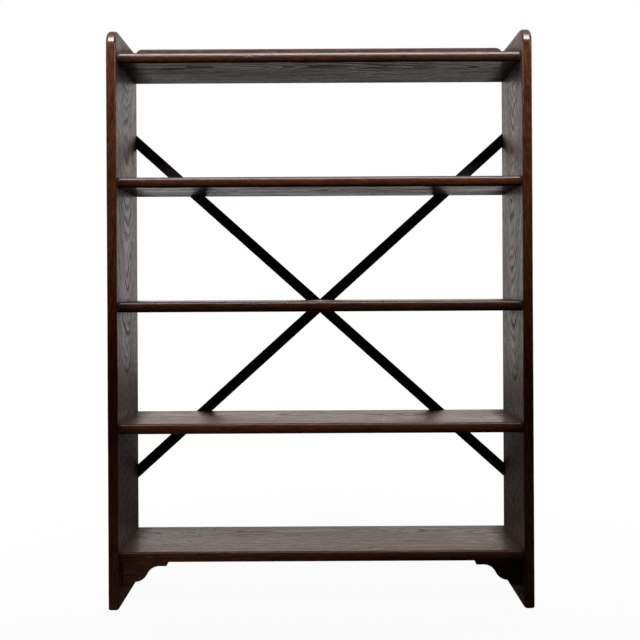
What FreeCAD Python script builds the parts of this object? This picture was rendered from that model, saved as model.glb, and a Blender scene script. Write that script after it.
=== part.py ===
import FreeCAD, Part
import math
import os
import Sketcher

# An oak bookcase, open at front and back: two plank sides, five shelves housed into them,
# a low gallery on the top shelf, two shaped foot brackets and a pair of crossed iron straps.
# Millimetres. The front faces -Y, +Z is up, and the feet stand on Z = 0.

# The driving sizes: name, millimetres, what is measured.
DRIVING_SIZES = [
    ("case_width", 900, "overall width over the two sides"),
    ("side_depth", 230, "front to back of a side"),
    ("side_thickness", 22, "thickness of a side"),
    ("side_upstand", 49, "height of the sides above the top shelf"),
    ("side_corner_radius", 36, "easing of a side's front top corner"),
    ("side_nose_radius", 7, "rounding along a side's front and top edges"),
    ("foot_chamfer", 2, "chamfer round the bottom of a side"),
    ("foot_clear", 96, "floor to the underside of the bottom shelf"),
    ("shelf_thickness", 22, "thickness of a shelf"),
    ("shelf_setback", 14, "front of the sides to the front of the shelves"),
    ("shelf_nose_radius", 6, "rounding along a shelf's front edge"),
    ("nose_flat", 1, "least flat left in the middle of a rounded edge"),
    ("bottom_bay", 250, "clear height above the bottom shelf"),
    ("lower_bay", 237, "clear height above the fourth shelf"),
    ("upper_bay", 243, "clear height above the third shelf"),
    ("top_bay", 243, "clear height above the second shelf"),
    ("housing_depth", 8, "depth of a shelf housing in a side"),
    ("housing_stop", 24, "shelf front to the stopped end of its housing"),
    ("tongue_thickness", 14, "thickness of the tongue on a shelf's ends"),
    ("glue_line", 0.1, "gap left at each face of a glued joint"),
    ("drill_clearance", 0.1, "gap round a screw or a pellet in its hole"),
    ("gallery_height", 55, "height of the gallery above the top shelf"),
    ("gallery_thickness", 18, "thickness of the gallery"),
    ("gallery_seat", 4, "depth of the rebate that the gallery stands in"),
    ("gallery_corner_radius", 17, "rounding of the gallery's upper corners"),
    ("gallery_arris", 3, "rounding along the gallery's top edge"),
    ("bracket_recess", 32, "shelf front to the face of a foot bracket"),
    ("bracket_thickness", 18, "thickness of a foot bracket"),
    ("bracket_foot_width", 21, "width of a bracket's lower end, at the side"),
    ("bracket_foot_rise", 11, "height of the small slope over that end"),
    ("bracket_foot_slant", 5, "width of that slope"),
    ("ogee_run", 53, "width of the double curve"),
    ("ogee_rise", 33.5, "height of the double curve"),
    ("bracket_step", 15, "flat between the curve and the tip"),
    ("bracket_tip_slant", 7, "width of the sloping tip"),
    ("bracket_tip_rise", 16.5, "height of the sloping tip"),
    ("block_section", 20, "section of a glue block"),
    ("block_length", 70, "length of a glue block"),
    ("block_chamfer", 9, "chamfer on a glue block's free edge"),
    ("strap_width", 24, "width of an iron strap"),
    ("strap_thickness", 4, "thickness of an iron strap"),
    ("strap_end_inset", 14, "outer face of a side to a strap's end screw"),
    ("strap_end_rise", 392, "crossing of the straps to an end screw, upright"),
    ("strap_cross_rise", 8, "underside of the third shelf to the crossing"),
    ("strap_tip_flat", 1, "flat left at the tip of a rounded strap end"),
    ("joggle_reach", 20, "crossing to the start of the bend over the other strap"),
    ("joggle_slope", 16, "length of that bend"),
    ("joggle_bend_radius", 6, "easing of that bend"),
    ("screw_shank", 4.5, "diameter of a screw's shank"),
    ("screw_point", 7, "length of a screw's point"),
    ("sunk_head", 9, "diameter of a countersunk head"),
    ("shelf_screw_length", 44, "length of a shelf screw"),
    ("shelf_screw_inset", 45, "shelf front or back to its screws"),
    ("gallery_screw_length", 50, "length of a gallery screw"),
    ("gallery_screw_inset", 90, "gallery end to its outer screws"),
    ("pellet_diameter", 10, "diameter of an oak pellet"),
    ("pellet_depth", 6, "depth of an oak pellet"),
    ("round_head", 10, "diameter of a round head"),
    ("round_head_height", 3.4, "height of a round head"),
    ("round_head_rim", 0.4, "upright rim left round a round head"),
    ("screw_slot", 1.4, "width of a screw's slot"),
    ("screw_slot_depth", 1.8, "depth of a screw's slot"),
    ("strap_screw_length", 30, "length of a strap screw under its head"),
]

doc = FreeCAD.newDocument("Bookcase")
sheet = doc.addObject("Spreadsheet::Sheet", "Sizes")
for row, (alias, millimetres, meaning) in enumerate(DRIVING_SIZES, start=1):
    sheet.set("A%d" % row, meaning)
    sheet.set("B%d" % row, str(millimetres))
    sheet.setAlias("B%d" % row, alias)
doc.recompute()

# Places worked out from the driving sizes, shared by the pieces that meet there.
SHELF_NAMES = ["bottom_shelf", "fourth_shelf", "third_shelf", "second_shelf", "top_shelf"]
BAY_NAMES = ["bottom_bay", "lower_bay", "upper_bay", "top_bay"]
SHELF_UNDERSIDE = {"bottom_shelf": "Sizes.foot_clear"}
for below, bay, above in zip(SHELF_NAMES, BAY_NAMES, SHELF_NAMES[1:]):
    SHELF_UNDERSIDE[above] = "%s + Sizes.shelf_thickness + Sizes.%s" % (SHELF_UNDERSIDE[below], bay)
TOP_SURFACE = SHELF_UNDERSIDE["top_shelf"] + " + Sizes.shelf_thickness"
SIDE_HEIGHT = TOP_SURFACE + " + Sizes.side_upstand"

OUTER_X = "Sizes.case_width / 2"
INNER_X = "(Sizes.case_width / 2 - Sizes.side_thickness)"
OVERALL_DEPTH = "(Sizes.side_depth + 2 * Sizes.strap_thickness + Sizes.round_head_height)"
FRONT_Y = "-%s / 2" % OVERALL_DEPTH
SHELF_FRONT_Y = "%s + Sizes.shelf_setback" % FRONT_Y
BACK_Y = "%s + Sizes.side_depth" % FRONT_Y
SHELF_DEPTH = "(Sizes.side_depth - Sizes.shelf_setback)"
TONGUE = "(Sizes.housing_depth - Sizes.glue_line)"
TONGUE_MIDDLE = "Sizes.tongue_thickness / 2"
SHELF_LENGTH = "(2 * %s + 2 * %s)" % (INNER_X, TONGUE)
SHELF_SCREW_Y = ["Sizes.shelf_screw_inset", "%s - Sizes.shelf_screw_inset" % SHELF_DEPTH]
HOLE_FOR_SCREW = "Sizes.screw_shank + 2 * Sizes.drill_clearance"

# The straps cross behind the third shelf and meet a screw at each shelf that they pass.
STRAP_END_X = "(Sizes.case_width / 2 - Sizes.strap_end_inset)"
CROSSING_Z = "(%s + Sizes.strap_cross_rise)" % SHELF_UNDERSIDE["third_shelf"]
STRAP_HALF = "sqrt(%s ^ 2 + Sizes.strap_end_rise ^ 2)" % STRAP_END_X


def middle_rise(shelf):
    """Height of a shelf's middle above the crossing of the straps."""
    return "(%s + Sizes.shelf_thickness / 2 - %s)" % (SHELF_UNDERSIDE[shelf], CROSSING_Z)


def strap_x(shelf):
    """Distance from the centre line at which a strap passes the middle of a shelf's back edge."""
    return "%s * %s / Sizes.strap_end_rise" % (middle_rise(shelf), STRAP_END_X)


def rounding(radius, thickness):
    """A rounded edge's radius, limited by the thickness of its board."""
    return "min(Sizes.%s; (Sizes.%s - Sizes.nose_flat) / 2)" % (radius, thickness)


def value(expression):
    """Millimetres that an expression over the sheet comes to."""
    return float(sheet.evalExpression(expression))


def new_body(label, place=("0", "0", "0"), rotation=FreeCAD.Rotation()):
    """A piece with its own label, put in its place."""
    body = doc.addObject("PartDesign::Body", label)
    body.Label = label
    move(body, place, rotation)
    return body


def move(piece, place, rotation):
    """Put a piece at a place given as three expressions."""
    piece.Placement = FreeCAD.Placement(FreeCAD.Vector(), rotation)
    for axis, expression in zip("xyz", place):
        piece.setExpression("Placement.Base." + axis, expression)


def new_sketch(body, name, plane, offset="0"):
    """A sketch on one of the body's own origin planes, moved along its normal by offset."""
    sketch = body.newObject("Sketcher::SketchObject", "%s_%s" % (body.Name, name))
    support = [feature for feature in body.Origin.OriginFeatures if feature.Role == plane][0]
    sketch.AttachmentSupport = (support, [""])
    sketch.MapMode = "FlatFace"
    sketch.setExpression("AttachmentOffset.Base.z", offset)
    return sketch


def bind(sketch, constraint, expression):
    """Add a dimension to a sketch and tie it to an expression."""
    index = sketch.addConstraint(constraint)
    sketch.setExpression("Constraints[%d]" % index, expression)


def pin(sketch, geometry, point, place):
    """Fix a point of a sketch at a place given as two expressions."""
    for kind, expression in zip(("DistanceX", "DistanceY"), place):
        bind(sketch, Sketcher.Constraint(kind, -1, 1, geometry, point, value(expression)), expression)


def spot(place):
    """The point at a place given as two expressions."""
    return FreeCAD.Vector(value(place[0]), value(place[1]), 0)


def outline(sketch, corners):
    """A closed outline of straight lines through corners given as expressions."""
    first = sketch.GeometryCount
    following = corners[1:] + corners[:1]
    for here, there in zip(corners, following):
        sketch.addGeometry(Part.LineSegment(spot(here), spot(there)))
    for index, corner in enumerate(corners):
        after = (index + 1) % len(corners)
        sketch.addConstraint(Sketcher.Constraint("Coincident", first + index, 2, first + after, 1))
        pin(sketch, first + index, 1, corner)


def rectangle(sketch, left, low, right, high):
    """A rectangle between two corners."""
    outline(sketch, [(left, low), (right, low), (right, high), (left, high)])


def circles(sketch, centres, diameter):
    """Circles of one diameter round the given centres."""
    for centre in centres:
        circle = Part.Circle(spot(centre), FreeCAD.Vector(0, 0, 1), value(diameter) / 2)
        index = sketch.addGeometry(circle)
        pin(sketch, index, 3, centre)
        bind(sketch, Sketcher.Constraint("Diameter", index, value(diameter)), diameter)


def pad(body, sketch, length, backwards=False):
    """Raise a sketch into a solid."""
    feature = body.newObject("PartDesign::Pad", sketch.Name + "_pad")
    feature.Profile = sketch
    feature.setExpression("Length", length)
    feature.Reversed = backwards
    doc.recompute()


def cut(body, sketch, depth, backwards):
    """Sink a sketch into the solid, and make sure that it took material away."""
    before = body.Shape.Volume
    feature = body.newObject("PartDesign::Pocket", sketch.Name + "_pocket")
    feature.Profile = sketch
    feature.setExpression("Length", depth)
    feature.Reversed = backwards
    doc.recompute()
    require(body.Shape.Volume < before, "%s cuts nothing" % sketch.Name)


def countersunk_holes(body, sketch, backwards):
    """Screw holes right through, with a seat for a countersunk head at the sketch."""
    before = body.Shape.Volume
    feature = body.newObject("PartDesign::Hole", sketch.Name + "_holes")
    feature.Profile = sketch
    doc.recompute()
    feature.ThreadType = "None"
    feature.DepthType = "ThroughAll"
    feature.setExpression("Diameter", HOLE_FOR_SCREW)
    feature.HoleCutType = "Countersink"
    feature.HoleCutCustomValues = True
    feature.setExpression("HoleCutDiameter", "Sizes.sunk_head + 2 * Sizes.drill_clearance")
    feature.HoleCutCountersinkAngle = 90
    feature.Reversed = backwards
    doc.recompute()
    require(body.Shape.Volume < before, "%s cuts nothing" % sketch.Name)


def dress(body, kind, name, size, wanted):
    """Fillet or chamfer the edges of a piece that the test named wanted picks out."""
    base = body.Tip
    edges = ["Edge%d" % (i + 1) for i, edge in enumerate(base.Shape.Edges) if wanted(edge)]
    require(edges, "%s of %s finds no edge" % (name, body.Label))
    feature = body.newObject("PartDesign::" + kind, "%s_%s" % (body.Name, name))
    feature.Base = (base, edges)
    feature.setExpression("Radius" if kind == "Fillet" else "Size", size)
    doc.recompute()


def require(condition, complaint):
    """Stop with a plain message where the model isn't as meant."""
    if not condition:
        raise RuntimeError(complaint)


def near(first, second):
    """True where two lengths are the same to a thousandth."""
    return abs(first - second) < 0.001


def lies_at(edge, axis, place):
    """True where every corner of an edge has the same given x, y or z."""
    return all(near(getattr(vertex.Point, axis), place) for vertex in edge.Vertexes)


def runs_along(edge, axis):
    """True for a straight edge that runs along x, y or z."""
    if not isinstance(edge.Curve, Part.Line):
        return False
    return near(abs(getattr(edge.Curve.Direction, axis)), 1)


# Sides: planks whose rounded front edge runs on over an eased corner into the rounded top.
# Each has five stopped housings inside, counterbored screw holes outside, and two
# pilot holes for the strap screws in its back edge.
def make_side(label, outer_x, inwards):
    """One side. Its outer face is its own x = 0, and inwards is +1 or -1 along x."""
    side = new_body(label, (outer_x, FRONT_Y, "0"))
    leftwards = inwards < 0
    inner = "%d * Sizes.side_thickness" % inwards

    plank = new_sketch(side, "plank", "YZ_Plane")
    rectangle(plank, "0", "0", "Sizes.side_depth", SIDE_HEIGHT)
    pad(side, plank, "Sizes.side_thickness", leftwards)
    height = value(SIDE_HEIGHT)
    dress(side, "Fillet", "corner", "Sizes.side_corner_radius",
          lambda edge: lies_at(edge, "y", 0) and lies_at(edge, "z", height))

    def on_rounded_rim(edge):
        middle = edge.CenterOfMass
        on_face = runs_along(edge, "y") or runs_along(edge, "z") or isinstance(edge.Curve, Part.Circle)
        on_front_or_top = near(middle.y, 0) or near(middle.z, height)
        on_corner = isinstance(edge.Curve, Part.Circle)
        return on_face and (on_front_or_top or on_corner)

    dress(side, "Fillet", "nose", rounding("side_nose_radius", "side_thickness"),
          on_rounded_rim)
    dress(side, "Chamfer", "foot", "Sizes.foot_chamfer", lambda edge: lies_at(edge, "z", 0))

    housings = new_sketch(side, "housings", "YZ_Plane", inner)
    for shelf in SHELF_NAMES:
        underside = SHELF_UNDERSIDE[shelf]
        rectangle(housings,
                  "Sizes.shelf_setback + Sizes.housing_stop - Sizes.glue_line",
                  "%s - Sizes.glue_line" % underside,
                  "Sizes.side_depth + Sizes.glue_line",
                  "%s + Sizes.tongue_thickness + Sizes.glue_line" % underside)
    cut(side, housings, "Sizes.housing_depth", leftwards)

    screws = [("Sizes.shelf_setback + " + y, "%s + %s" % (SHELF_UNDERSIDE[shelf], TONGUE_MIDDLE))
              for shelf in SHELF_NAMES for y in SHELF_SCREW_Y]
    counterbores = new_sketch(side, "counterbores", "YZ_Plane")
    circles(counterbores, screws, "Sizes.pellet_diameter + 2 * Sizes.drill_clearance")
    cut(side, counterbores, "Sizes.pellet_depth", not leftwards)
    seats = new_sketch(side, "seats", "YZ_Plane", "%d * Sizes.pellet_depth" % inwards)
    circles(seats, screws, HOLE_FOR_SCREW)
    countersunk_holes(side, seats, not leftwards)

    pilots = new_sketch(side, "pilots", "XZ_Plane", "-Sizes.side_depth")
    inset = "%d * Sizes.strap_end_inset" % inwards
    ends = [(inset, "%s %s Sizes.strap_end_rise" % (CROSSING_Z, sign)) for sign in "-+"]
    circles(pilots, ends, HOLE_FOR_SCREW)
    cut(side, pilots, "Sizes.strap_screw_length - Sizes.strap_thickness + Sizes.drill_clearance", True)
    return side


pieces = []
pieces.append(make_side("left_side", "-" + OUTER_X, 1))
pieces.append(make_side("right_side", OUTER_X, -1))


# Shelves: planks with a rounded front edge, whose shouldered ends leave a tongue along the
# underside that fits the stopped housing. Screws enter both tongues, and strap screws some back edges.
def make_shelf(label, strap_screws):
    """One shelf. Its own x = 0 is its left end, and strap_screws are places from its middle."""
    shelf = new_body(label, ("-%s / 2" % SHELF_LENGTH, SHELF_FRONT_Y, SHELF_UNDERSIDE[label]))
    plank = new_sketch(shelf, "plank", "XY_Plane")
    rectangle(plank, TONGUE, "0", "%s - %s" % (SHELF_LENGTH, TONGUE), SHELF_DEPTH)
    pad(shelf, plank, "Sizes.shelf_thickness")
    dress(shelf, "Fillet", "nose", rounding("shelf_nose_radius", "shelf_thickness"),
          lambda edge: runs_along(edge, "x") and lies_at(edge, "y", 0))
    tongues = new_sketch(shelf, "tongues", "XY_Plane")
    rectangle(tongues, "0", "Sizes.housing_stop", SHELF_LENGTH, SHELF_DEPTH)
    pad(shelf, tongues, "Sizes.tongue_thickness")

    reach = ("Sizes.shelf_screw_length - (Sizes.side_thickness - Sizes.pellet_depth"
             " - Sizes.housing_depth) + Sizes.drill_clearance")
    for end, offset, inwards in (("left", "0", True), ("right", SHELF_LENGTH, False)):
        pilots = new_sketch(shelf, end + "_pilots", "YZ_Plane", offset)
        circles(pilots, [(y, TONGUE_MIDDLE) for y in SHELF_SCREW_Y], HOLE_FOR_SCREW)
        cut(shelf, pilots, reach, inwards)
    if strap_screws:
        pilots = new_sketch(shelf, "strap_pilots", "XZ_Plane", "-" + SHELF_DEPTH)
        circles(pilots, [("%s / 2 + %s" % (SHELF_LENGTH, x), z) for x, z in strap_screws], HOLE_FOR_SCREW)
        cut(shelf, pilots, "Sizes.strap_screw_length - Sizes.strap_thickness + Sizes.drill_clearance", True)
    return shelf


SHELF_MIDDLE = "Sizes.shelf_thickness / 2"
STRAP_SCREWS = {"third_shelf": [("0", "Sizes.strap_cross_rise")]}
for passed in ("fourth_shelf", "second_shelf"):
    STRAP_SCREWS[passed] = [(sign + strap_x(passed), SHELF_MIDDLE) for sign in ("-", "")]
shelves = {name: make_shelf(name, STRAP_SCREWS.get(name)) for name in SHELF_NAMES}
pieces.extend(shelves.values())

# The gallery stands in a rebate along the back of the top shelf, between the sides,
# and is screwed from below.
GALLERY_LENGTH = "(2 * %s - 2 * Sizes.glue_line)" % INNER_X
GALLERY_BOARD = "(Sizes.gallery_height + Sizes.gallery_seat)"
GALLERY_Z = "(%s - Sizes.gallery_seat)" % TOP_SURFACE
OUTER_SCREW_X = "(%s / 2 - Sizes.gallery_screw_inset)" % GALLERY_LENGTH
GALLERY_SCREW_X = ["%s * %s" % (share, OUTER_SCREW_X) for share in ("-1", "-1 / 3", "1 / 3", "1")]
gallery = new_body("back_gallery", ("-%s / 2" % GALLERY_LENGTH, BACK_Y, GALLERY_Z))
board = new_sketch(gallery, "board", "XZ_Plane")
rectangle(board, "0", "0", GALLERY_LENGTH, GALLERY_BOARD)
pad(gallery, board, "Sizes.gallery_thickness")
gallery_top = value(GALLERY_BOARD)
dress(gallery, "Fillet", "corners", "Sizes.gallery_corner_radius",
      lambda edge: runs_along(edge, "y") and lies_at(edge, "z", gallery_top))
dress(gallery, "Fillet", "arris", "Sizes.gallery_arris",
      lambda edge: runs_along(edge, "x") and lies_at(edge, "z", gallery_top))
gallery_pilots = new_sketch(gallery, "pilots", "XY_Plane")
circles(gallery_pilots,
        [("%s / 2 + %s" % (GALLERY_LENGTH, x), "-Sizes.gallery_thickness / 2") for x in GALLERY_SCREW_X],
        HOLE_FOR_SCREW)
cut(gallery, gallery_pilots,
    "Sizes.gallery_screw_length - Sizes.shelf_thickness + Sizes.gallery_seat + Sizes.drill_clearance", True)
pieces.append(gallery)

top_shelf = shelves["top_shelf"]
rebate = new_sketch(top_shelf, "rebate", "XY_Plane", "Sizes.shelf_thickness")
rectangle(rebate, TONGUE, "%s - Sizes.gallery_thickness - Sizes.glue_line" % SHELF_DEPTH,
          "%s - %s" % (SHELF_LENGTH, TONGUE), SHELF_DEPTH)
cut(top_shelf, rebate, "Sizes.gallery_seat", False)
gallery_seats = new_sketch(top_shelf, "gallery_seats", "XY_Plane")
circles(gallery_seats,
        [("%s / 2 + %s" % (SHELF_LENGTH, x), "%s - Sizes.gallery_thickness / 2" % SHELF_DEPTH)
         for x in GALLERY_SCREW_X],
        HOLE_FOR_SCREW)
countersunk_holes(top_shelf, gallery_seats, True)

# Foot brackets: flat boards in the corners under the bottom shelf, sawn to a double curve,
# convex by the side and hollow towards the middle, with a small slope at either end.
BRACKET_DROP = "(Sizes.bracket_foot_rise + Sizes.ogee_rise + Sizes.bracket_tip_rise)"
OGEE_START_X = "(Sizes.bracket_foot_width + Sizes.bracket_foot_slant)"
OGEE_END_X = "(%s + Sizes.ogee_run)" % OGEE_START_X
STEP_END_X = "(%s + Sizes.bracket_step)" % OGEE_END_X
BRACKET_LENGTH = "(%s + Sizes.bracket_tip_slant)" % STEP_END_X
OGEE_END_Z = "(Sizes.bracket_foot_rise + Sizes.ogee_rise)"
OGEE_RADIUS = "(Sizes.ogee_run ^ 2 + Sizes.ogee_rise ^ 2) / (4 * Sizes.ogee_rise)"
BRACKET_FRONT_Y = "%s + Sizes.bracket_recess" % SHELF_FRONT_Y
BRACKET_Z = "%s - %s" % (SHELF_UNDERSIDE["bottom_shelf"], BRACKET_DROP)


def ogee(sketch, line_before, line_after):
    """The double curve between two lines: an arc that swells, then one that hollows."""
    radius = value(OGEE_RADIUS)
    start = (OGEE_START_X, "Sizes.bracket_foot_rise")
    middle = ("%s + Sizes.ogee_run / 2" % OGEE_START_X, "Sizes.bracket_foot_rise + Sizes.ogee_rise / 2")
    end = (OGEE_END_X, OGEE_END_Z)
    swell_centre = spot(start) + FreeCAD.Vector(0, radius, 0)
    hollow_centre = spot(end) - FreeCAD.Vector(0, radius, 0)
    up = FreeCAD.Vector(0, 0, 1)
    arc_turn = (spot(middle) - swell_centre).getAngle(spot(start) - swell_centre)
    straight_down = -math.pi / 2
    straight_up = math.pi / 2
    swell_circle = Part.Circle(swell_centre, up, radius)
    hollow_circle = Part.Circle(hollow_centre, up, radius)
    swell = sketch.addGeometry(Part.ArcOfCircle(swell_circle, straight_down, straight_down + arc_turn))
    hollow = sketch.addGeometry(Part.ArcOfCircle(hollow_circle, straight_up, straight_up + arc_turn))
    sketch.addConstraint(Sketcher.Constraint("Coincident", line_before, 2, swell, 1))
    sketch.addConstraint(Sketcher.Constraint("Coincident", swell, 2, hollow, 2))
    sketch.addConstraint(Sketcher.Constraint("Coincident", hollow, 1, line_after, 1))
    pin(sketch, swell, 2, middle)
    for arc in (swell, hollow):
        bind(sketch, Sketcher.Constraint("Radius", arc, radius), OGEE_RADIUS)


def make_bracket(label, side_x, rotation):
    """One bracket. Its own x runs from the side towards the middle, its z up from its lower end."""
    bracket = new_body(label, (side_x, "%s + Sizes.bracket_thickness / 2" % BRACKET_FRONT_Y, BRACKET_Z),
                       rotation)
    profile = new_sketch(bracket, "profile", "XZ_Plane", "-Sizes.bracket_thickness / 2")
    corners = [
        (OGEE_END_X, OGEE_END_Z),
        (STEP_END_X, OGEE_END_Z),
        (BRACKET_LENGTH, BRACKET_DROP),
        ("Sizes.glue_line", BRACKET_DROP),
        ("Sizes.glue_line", "0"),
        ("Sizes.bracket_foot_width", "0"),
        (OGEE_START_X, "Sizes.bracket_foot_rise"),
    ]
    for here, there in zip(corners, corners[1:]):
        profile.addGeometry(Part.LineSegment(spot(here), spot(there)))
    last = len(corners) - 2
    for line in range(last):
        profile.addConstraint(Sketcher.Constraint("Coincident", line, 2, line + 1, 1))
    for line, corner in enumerate(corners[:-1]):
        pin(profile, line, 1, corner)
    pin(profile, last, 2, corners[-1])
    ogee(profile, last, 0)
    pad(bracket, profile, "Sizes.bracket_thickness")
    return bracket


FACING_LEFT = FreeCAD.Rotation(FreeCAD.Vector(0, 0, 1), 180)
pieces.append(make_bracket("left_foot_bracket", "-" + INNER_X, FreeCAD.Rotation()))
pieces.append(make_bracket("right_foot_bracket", INNER_X, FACING_LEFT))


# Glue blocks: short square sticks rubbed into the corner behind each bracket, under the shelf.
def make_glue_block(label, left_x):
    """One block, with its free lower edge chamfered off."""
    behind_bracket = "%s + Sizes.bracket_thickness + Sizes.glue_line" % BRACKET_FRONT_Y
    below_shelf = "%s - Sizes.block_section - Sizes.glue_line" % SHELF_UNDERSIDE["bottom_shelf"]
    block = new_body(label, (left_x, behind_bracket, below_shelf))
    section = new_sketch(block, "section", "YZ_Plane")
    outline(section, [
        ("0", "0"),
        ("Sizes.block_section - Sizes.block_chamfer", "0"),
        ("Sizes.block_section", "Sizes.block_chamfer"),
        ("Sizes.block_section", "Sizes.block_section"),
        ("0", "Sizes.block_section"),
    ])
    pad(block, section, "Sizes.block_length")
    return block


pieces.append(make_glue_block("left_glue_block", "-%s + Sizes.glue_line" % INNER_X))
pieces.append(make_glue_block("right_glue_block", "%s - Sizes.glue_line - Sizes.block_length" % INNER_X))

# Iron straps: two flat bars with rounded ends, screwed to the back edges of the sides and
# of the shelves that they pass. The falling one is joggled: bent out over the rising one.
STRAP_LENGTH = "(2 * %s + Sizes.strap_width)" % STRAP_HALF
STRAP_MIDDLE = "(%s / 2)" % STRAP_LENGTH
SLOPE_ANGLE = "atan2(Sizes.strap_end_rise; %s)" % STRAP_END_X


def along_strap(shelf):
    """Distance along a strap from the crossing to the screw in a shelf's back edge."""
    return "%s * %s / Sizes.strap_end_rise" % (middle_rise(shelf), STRAP_HALF)


def make_strap(label, joggled, left_end_up):
    """One strap. Its own x runs along it from its lower tip, y through it and z across it."""
    strap = new_body(label)
    strap.Placement.Rotation = FreeCAD.Rotation(FreeCAD.Vector(0, 1, 0), -45)
    turn = "%s - 180 deg" % SLOPE_ANGLE if left_end_up else "-%s" % SLOPE_ANGLE
    run_sign = "" if left_end_up else "-"
    back_to_tip = "%s / %s" % (STRAP_MIDDLE, STRAP_HALF)
    strap.setExpression("Placement.Rotation.Angle", turn)
    strap.setExpression("Placement.Base.x", "%s%s * %s" % (run_sign, STRAP_END_X, back_to_tip))
    strap.setExpression("Placement.Base.y", BACK_Y)
    strap.setExpression("Placement.Base.z",
                        "%s - Sizes.strap_end_rise * %s" % (CROSSING_Z, back_to_tip))

    face = [("0", "0"), (STRAP_LENGTH, "0")]
    if joggled:
        bend_start = "Sizes.joggle_reach + Sizes.joggle_slope"
        face[1:1] = [
            ("%s - (%s)" % (STRAP_MIDDLE, bend_start), "0"),
            ("%s - Sizes.joggle_reach" % STRAP_MIDDLE, "Sizes.strap_thickness"),
            ("%s + Sizes.joggle_reach" % STRAP_MIDDLE, "Sizes.strap_thickness"),
            ("%s + %s" % (STRAP_MIDDLE, bend_start), "0"),
        ]
    rear = [(x, "%s + Sizes.strap_thickness" % y) for x, y in reversed(face)]
    bar = new_sketch(strap, "bar", "XY_Plane", "-Sizes.strap_width / 2")
    outline(bar, face + rear)
    pad(strap, bar, "Sizes.strap_width")

    length = value(STRAP_LENGTH)
    dress(strap, "Fillet", "ends", "(Sizes.strap_width - Sizes.strap_tip_flat) / 2",
          lambda edge: runs_along(edge, "y") and (lies_at(edge, "x", 0) or lies_at(edge, "x", length)))
    if joggled:
        dress(strap, "Fillet", "bends", "Sizes.joggle_bend_radius",
              lambda edge: runs_along(edge, "z") and 1 < edge.CenterOfMass.x < length - 1)

    places = [STRAP_MIDDLE + " - " + STRAP_HALF, STRAP_MIDDLE, STRAP_MIDDLE + " + " + STRAP_HALF]
    places += [STRAP_MIDDLE + " + " + along_strap(shelf) for shelf in ("fourth_shelf", "second_shelf")]
    holes = new_sketch(strap, "holes", "XZ_Plane")
    circles(holes, [(place, "0") for place in places], HOLE_FOR_SCREW)
    cut(strap, holes, "3 * Sizes.strap_thickness", False)
    return strap


pieces.append(make_strap("rising_brace", False, False))
pieces.append(make_strap("falling_brace", True, True))


# Screws: turned from one profile each, standing on their points, heads uppermost.
def make_screw(name, head_profile):
    """One screw. head_profile gives the corners from the top of the shank to the top of the head."""
    screw = new_body(name)
    profile = new_sketch(screw, "profile", "XZ_Plane")
    outline(profile, [
        ("0", "0"),
        ("Sizes.screw_shank / 2", "Sizes.screw_point"),
        *head_profile,
        ("0", head_profile[-1][1]),
    ])
    feature = screw.newObject("PartDesign::Revolution", name + "_turned")
    feature.Profile = profile
    feature.ReferenceAxis = (profile, ["V_Axis"])
    feature.Angle = 360
    doc.recompute()
    return screw


def sunk_head_profile(length):
    """The corners of a countersunk head."""
    cone = "(Sizes.sunk_head - Sizes.screw_shank) / 2"
    return [("Sizes.screw_shank / 2", "%s - %s" % (length, cone)), ("Sizes.sunk_head / 2", length)]


# A round head is a low flat-based button with its top edge rounded off and a slot across it.
def make_round_screw(name, grip):
    """A round-headed screw that reaches grip below its head."""
    top = "%s + Sizes.round_head_height" % grip
    screw = make_screw(name, [
        ("Sizes.screw_shank / 2", grip),
        ("Sizes.round_head / 2", grip),
        ("Sizes.round_head / 2", top),
    ])
    height = value(top)
    dress(screw, "Fillet", "dome", "Sizes.round_head_height - Sizes.round_head_rim",
          lambda edge: lies_at(edge, "z", height))
    slot = new_sketch(screw, "slot", "XY_Plane", top)
    half = "Sizes.screw_slot / 2"
    rectangle(slot, "-Sizes.round_head", "-" + half, "Sizes.round_head", half)
    cut(screw, slot, "Sizes.screw_slot_depth", False)
    return screw


def make_group(label, piece, places, slot_turn=0):
    """Like pieces in one group: copies of one piece, each with its own place and rotation."""
    copies = []
    for number, (place, rotation) in enumerate(places):
        copy = doc.addObject("App::Link", "%s_%d" % (label, number + 1))
        copy.LinkedObject = piece
        spin = FreeCAD.Rotation(FreeCAD.Vector(0, 0, 1), slot_turn * number)
        move(copy, place, rotation * spin)
        copies.append(copy)
    group = doc.addObject("Part::Compound", label)
    group.Label = label
    group.Links = copies
    return group


HEAD_LEFT = FreeCAD.Rotation(FreeCAD.Vector(0, 1, 0), -90)
HEAD_RIGHT = FreeCAD.Rotation(FreeCAD.Vector(0, 1, 0), 90)
HEAD_DOWN = FreeCAD.Rotation(FreeCAD.Vector(1, 0, 0), 180)
HEAD_BACK = FreeCAD.Rotation(FreeCAD.Vector(1, 0, 0), -90)

shelf_screw = make_screw("shelf_screw", sunk_head_profile("Sizes.shelf_screw_length"))
pellet = doc.addObject("Part::Cylinder", "pellet")
pellet.setExpression("Radius", "Sizes.pellet_diameter / 2")
pellet.setExpression("Height", "Sizes.pellet_depth")
SCREW_POINT_X = "(%s - Sizes.pellet_depth - Sizes.shelf_screw_length)" % OUTER_X
PELLET_SEAT_X = "(%s - Sizes.pellet_depth)" % OUTER_X


def screw_places(depth_x, shelf):
    """The four places of a shelf's screws or pellets, two at each end, at depth_x from the middle."""
    z = "%s + %s" % (SHELF_UNDERSIDE[shelf], TONGUE_MIDDLE)
    return [((sign + depth_x, "%s + %s" % (SHELF_FRONT_Y, y), z), rotation)
            for sign, rotation in (("-", HEAD_LEFT), ("", HEAD_RIGHT))
            for y in SHELF_SCREW_Y]


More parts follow.
